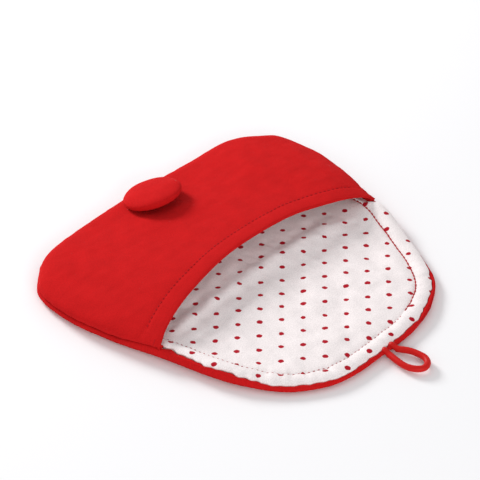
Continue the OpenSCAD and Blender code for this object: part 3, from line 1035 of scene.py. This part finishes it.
def lip_radius(grid):
    """Half the thickness of the mouth's edge at each column: it runs out thin at the right."""
    return LIP_R * (0.3 + 0.7 * ramp(along(grid[:, -1]), 6, 34))


def steady(ways):
    """The same directions, held still over the last few columns at each corner."""
    held = ways.copy()
    held[:6], held[-6:] = ways[6], ways[-7]
    return held


def hem_lip(grid, normals):
    """The cloth that rolls round the mouth's edge and lies under it as a facing."""
    edge, up = grid[:, -1], normals[:, -1]
    r = lip_radius(grid)[:, None]
    run = steady(np.gradient(edge, axis=0))
    out = np.cross(run, up)
    out /= np.linalg.norm(out, axis=1)[:, None]
    out = np.where((out * (grid[:, -1] - grid[:, -3])).sum(axis=1)[:, None] < 0, -out, out)
    lip = []
    for a in np.radians([25, 50, 75, 100, 125, 150, 175]):
        lip.append(edge - up * r + r * (math.cos(a) * up + math.sin(a) * out))
    return np.stack(lip, axis=1)


def inner_row(grid, normals, depth, back):
    """Points under the grid at a depth, at a distance back from the mouth along each column."""
    rows = []
    for c in range(len(grid)):
        s = along(grid[c][::-1])
        at = min(back, s[-1] * 0.4)
        p = [np.interp(at, s, grid[c][::-1][:, k]) for k in range(3)]
        n = np.array([np.interp(at, s, normals[c][::-1][:, k]) for k in range(3)])
        rows.append(np.array(p) - n / np.linalg.norm(n) * depth[c])
    return np.stack(rows)


turn_joint = JOINTS["button_turn"]
BUTTON_AXIS = np.array(turn_joint["axis"], float)
BUTTON_AXIS /= np.linalg.norm(BUTTON_AXIS)
PLATE_UP = 4.9
BUTTON_ORIGIN = np.array(turn_joint["pos_m"]) / MM - BUTTON_AXIS * PLATE_UP


def make_pocket():
    grid, behind = soften(pocket_grid())
    normals = grid_normals(grid)
    if normals[:, ROWS // 2, 2].mean() < 0:
        normals = -normals
    whole = grid, normals, behind
    lip = hem_lip(grid, steady(normals))
    deep = 2 * lip_radius(grid)
    facing = [inner_row(grid, steady(normals), deep * (1 + 0.55 * ramp(b, 1, 6)), b)
              for b in (0.4, 2, 4, 6, 8, 10)]
    sheet = np.concatenate([grid, lip, np.stack(facing, axis=1)], axis=1)
    flat = unfolded(grid)
    below = np.arange(1, lip.shape[1] + len(facing) + 1) * 1.2
    extra = flat[:, -1][:, None] - np.array([0, 1.0]) * below[None, :, None]
    piece = grid_piece("pocket_front", sheet, np.concatenate([flat, extra], axis=1), "red")
    if sum(face.normal.z * face.area for face in piece.data.polygons) < 0:
        piece.data.flip_normals()
    thicken(piece, COVER_T)
    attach(piece, "finger_half")
    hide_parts("pocket_cover", "mouth_facing")

    # The layers inside start on the wall, and end short of the mouth's corners.
    grid, normals, columns = grid[14:-5, 14:], normals[14:-5, 14:], pocket_columns()[14:-5]
    short = 9 * ramp(34 - along(grid[:, -1]), 0, 26)
    wad = slab(*trim(grid, normals, 2.6 + short), columns, COVER_T + 0.1, WADDING_T)
    solid = shell_piece("pocket_padding", *wad, "wadding")
    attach(solid, "finger_half")
    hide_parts("pocket_wadding")

    under = slab(*trim(grid, normals, 7.0 + short), columns, COVER_T + WADDING_T + 0.25,
                  LINING_T)
    inner = shell_piece("pocket_inside", *under, "lining")
    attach(inner, "finger_half")
    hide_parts("pocket_lining")
    return whole


def trim(grid, normals, back):
    """The grid and its normals without a strip behind the mouth's edge."""
    points, ups = np.zeros_like(grid), np.zeros_like(normals)
    for c in range(len(grid)):
        s = along(grid[c])
        keep = max(s[-1] - back[c], s[-1] * 0.5)
        at = s / s[-1] * keep
        for k in range(3):
            points[c, :, k] = np.interp(at, s, grid[c, :, k])
            ups[c, :, k] = np.interp(at, s, normals[c, :, k])
    ups /= np.linalg.norm(ups, axis=2)[:, :, None]
    return points, ups


def slab(points, ups, columns, top, thickness):
    """The two faces of a layer under the cover, thinner where it nears the mouth."""
    steps = np.linalg.norm(np.diff(points, axis=1), axis=2)[:, ::-1]
    left = np.concatenate([np.cumsum(steps, axis=1)[:, ::-1], np.zeros((len(points), 1))], axis=1)
    thick = thickness * (0.35 + 0.65 * ramp(left, 0, 6))[:, :, None]
    upper, lower = points - ups * top, points - ups * (top + thick)
    floor = 4.9 + RIM_LIFT[columns][:, None]
    upper[:, :, 2] = np.maximum(upper[:, :, 2], floor + 0.3)
    lower[:, :, 2] = np.maximum(lower[:, :, 2], floor)
    return upper, lower


def shell_piece(name, upper, lower, material):
    """A closed solid between two grids of the same size."""
    n, m = upper.shape[:2]
    border = ([(i, 0) for i in range(n)] + [(n - 1, j) for j in range(1, m)]
              + [(i, m - 1) for i in range(n - 2, -1, -1)] + [(0, j) for j in range(m - 2, 0, -1)])
    i, j = np.meshgrid(np.arange(n - 1), np.arange(m - 1), indexing="ij")
    a = (i * m + j).ravel()
    top = np.stack([a, a + m, a + m + 1, a + 1], axis=1)
    faces = [tuple(f) for f in top] + [tuple(f[::-1] + n * m) for f in top]
    edge = [i * m + j for i, j in border]
    for p, q in zip(edge, edge[1:] + edge[:1]):
        faces.append((q, p, p + n * m, q + n * m))
    points = np.concatenate([upper.reshape(-1, 3), lower.reshape(-1, 3)])
    return face_outwards(mesh_piece(name, points, faces, points[:, :2], material))


def make_mouth_stitching(grid, normals, behind):
    path, ups = [], []
    for c in range(len(grid)):
        rows = np.flatnonzero((behind[c, :-1] >= HEM) & (behind[c, 1:] < HEM))
        if len(rows) == 0 or grid[c, rows[-1], 2] < 7.5:
            continue
        r = rows[-1]
        t = (behind[c, r] - HEM) / max(behind[c, r] - behind[c, r + 1], 1e-6)
        path.append(grid[c, r] * (1 - t) + grid[c, r + 1] * t)
        ups.append(normals[c, r])
    path, ups = np.array(path), np.array(ups)
    order = np.argsort(path[:, 0])
    row = stitch_row(path[order] + ups[order] * 0.12, ups[order], 2.2, 0.9, 0.6, 0.22)
    piece = stitch_piece("hem_stitching", [row], "thread")
    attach(piece, "finger_half")
    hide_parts("mouth_stitching")


def make_corner_tacks(grid, normals):
    """A short row of close stitches at each end of the mouth."""
    for name, column in (("corner_tack_right", 5), ("corner_tack_left", len(grid) - 4)):
        s = along(grid[column])
        rows = np.flatnonzero((normals[column, :, 2] > 0.3) & (s < min(11, s[-1] - 1.2)))
        path = grid[column, rows] + normals[column, rows] * 0.05
        row = stitch_row(resample(path, 20), resample(normals[column, rows], 20),
                         0.8, 0.05, 0.35, 0.12)
        piece = stitch_piece(name.replace("tack", "bar"), [row], "thread")
        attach(piece, "finger_half")
        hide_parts(name)


def make_loop_tack():
    """A bar of stitches through the seam, over the two ends of the cord."""
    p = pad_ring(5.5)
    line = p[(np.abs(p[:, 0]) < 5.0) & (p[:, 1] < 0)]
    line = line[np.argsort(line[:, 0])]
    z = lining_height(line[:, 0], line[:, 1], np.full(len(line), 5.5), RED_EDGE[0],
                      line[:, 0] * 0, 0, STITCH_IN[0])
    path = np.column_stack([line, z - 1.1])
    row = stitch_row(path, np.tile([0, 0, 1.0], (len(path), 1)), 1.8, 0.8, 0.4, 0.26)
    piece = stitch_piece("loop_bar", [row], "thread")
    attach(piece, "palm_half")
    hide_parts("loop_tack")


pocket, pocket_up, pocket_behind = make_pocket()
make_mouth_stitching(pocket, pocket_up, pocket_behind)
make_corner_tacks(pocket, pocket_up)
make_loop_tack()

# ---- button -----------------------------------------------------------------------------------

BUTTON_R = 19.0
BUTTON_H = 6.8
BUTTON_SIDE = 2.2
SHANK_H = 3.3
TURNED_R = 13.5


def button_section():
    """Radius and height of the cloth, from the middle of the top to its edge underneath."""
    top = [(BUTTON_R * math.sin(a) ** 0.86,
            SHANK_H + BUTTON_SIDE + (BUTTON_H - BUTTON_SIDE) * max(math.cos(a), 0) ** 0.86)
           for a in np.radians(np.linspace(2, 90, 26))]
    side = [(BUTTON_R - 3 * (1 - math.sin(a)),
             SHANK_H + BUTTON_SIDE * (1 + math.cos(a) / math.cos(math.radians(45))))
            for a in np.radians(np.linspace(98, 135, 7))]
    return top + side + [(BUTTON_R - 2.2, SHANK_H + 0.02), (BUTTON_R - 4, SHANK_H),
                         (TURNED_R, SHANK_H + 0.05)]


def make_button():
    section = button_section()
    segments = 128
    turn = np.arange(segments) * 2 * math.pi / segments
    lengthways = np.cross(BUTTON_AXIS, [1.0, 0, 0])
    lengthways /= np.linalg.norm(lengthways)
    across = np.cross(lengthways, BUTTON_AXIS)
    rings, flat = [], []
    for k, (r, h) in enumerate(section):
        low = ramp(np.array(SHANK_H + 2.6 - h), 0, 2.6)
        pleat = 1 + low * 0.006 * np.cos(26 * turn + 2 * np.sin(3 * turn))
        x, y = r * pleat * np.cos(turn), r * pleat * np.sin(turn)
        lift = 0.16 * ripple(x, y, 15, 51) * ramp(BUTTON_H + SHANK_H - h, 0, 1) * (1 - low)
        h = h + lift + 0.05 * low * np.cos(26 * turn)
        rings.append(BUTTON_ORIGIN + x[:, None] * across + y[:, None] * lengthways
                     + h[:, None] * BUTTON_AXIS)
        reach = r + max(0, k - 26) * 0.6
        flat.append(np.stack([reach * np.cos(turn), reach * np.sin(turn)], axis=1))
    inner, inner_flat = [], []
    for ring, place, (r, h) in list(zip(rings, flat, section))[::-1]:
        middle = BUTTON_ORIGIN + BUTTON_AXIS * (SHANK_H + 2.4)
        inner.append(ring + (middle - ring) * (0.6 / max(r * 0.5 + 3.5, 4)))
        inner_flat.append(place)
    cloth = rings_piece("button_cloth", rings + inner, flat + inner_flat, "red")
    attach(cloth, "button")
    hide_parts("button_cover")


def dress_frame_nodes():
    """Materials for the CAD nodes that are shown as they are."""
    looks = {
        "thread_shank": "hidden_thread", "button_anchor": "hidden_thread",
        "seam_thread_finger": "hidden_thread", "seam_thread_palm": "hidden_thread",
        "button_eye": "metal", "button_back": "metal", "button_shell": "metal",
        "button_padding": "wadding",
    }
    for node, look in looks.items():
        mesh = frame["nodes"][node].data
        mesh.materials.clear()
        mesh.materials.append(MATERIALS[look])


make_button()
dress_frame_nodes()
